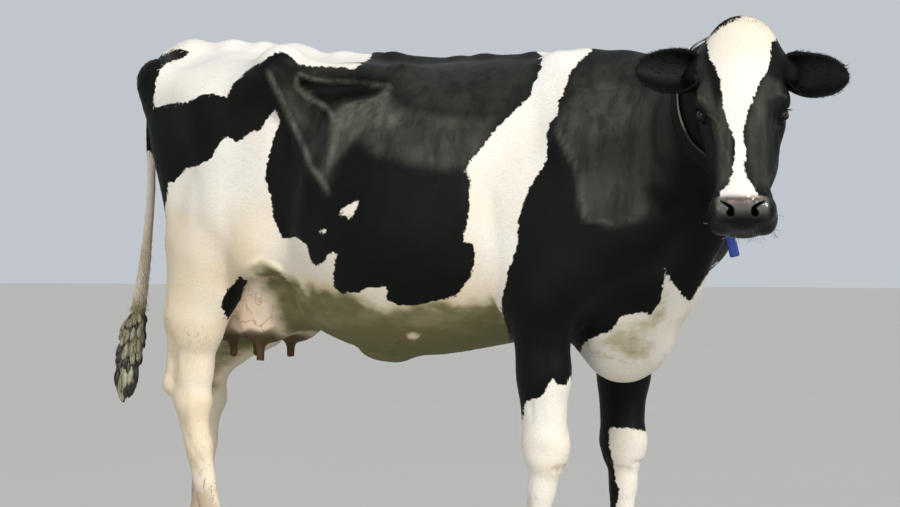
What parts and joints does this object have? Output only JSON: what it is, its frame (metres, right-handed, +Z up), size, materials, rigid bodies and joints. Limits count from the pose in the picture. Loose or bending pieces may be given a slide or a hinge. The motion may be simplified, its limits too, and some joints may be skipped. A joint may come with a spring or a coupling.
{
  "type": "cow",
  "caption": "Standing black and white Holstein-Friesian dairy cow, polled, looking to her right, with udder, cloven hooves, tail and a neck collar with a small tag.",
  "frame": {"origin": "on the floor under the middle of the animal's bounding box", "axes": "+X from the tail towards the chest along the spine, +Y to the cow's left, +Z up; the head is turned to -Y"},
  "size_m": [2.3393, 0.8647, 1.5169],
  "materials": {
    "hide": "short glossy coat, black with cream-white patches",
    "udder_skin": "soft pink skin with fine pale hair and veins",
    "hoof": "dark smooth horn",
    "eye": "wet and glossy, dark brown",
    "tail_hair": "long clumped hair, grey-brown, matt",
    "strap": "woven webbing, pale grey and tan",
    "tag": "plain blue plastic"
  },
  "bodies": {
    "root": {"torso": "hide", "neck": "hide", "head": "hide", "ear_left": "hide", "ear_right": "hide", "foreleg_left": "hide", "foreleg_right": "hide", "hindleg_left": "hide", "hindleg_right": "hide", "tail": "hide", "tail_switch": "tail_hair", "udder": "udder_skin", "eye_left": "eye", "eye_right": "eye", "hoof_fore_left_left": "hoof", "dewclaw_fore_left_left": "hoof", "hoof_fore_left_right": "hoof", "dewclaw_fore_left_right": "hoof", "hoof_fore_right_left": "hoof", "dewclaw_fore_right_left": "hoof", "hoof_fore_right_right": "hoof", "dewclaw_fore_right_right": "hoof", "hoof_hind_left_left": "hoof", "dewclaw_hind_left_left": "hoof", "hoof_hind_left_right": "hoof", "dewclaw_hind_left_right": "hoof", "hoof_hind_right_left": "hoof", "dewclaw_hind_right_left": "hoof", "hoof_hind_right_right": "hoof", "dewclaw_hind_right_right": "hoof", "collar_strap": "strap", "collar_tag": "tag"}
  },
  "joints": []
}
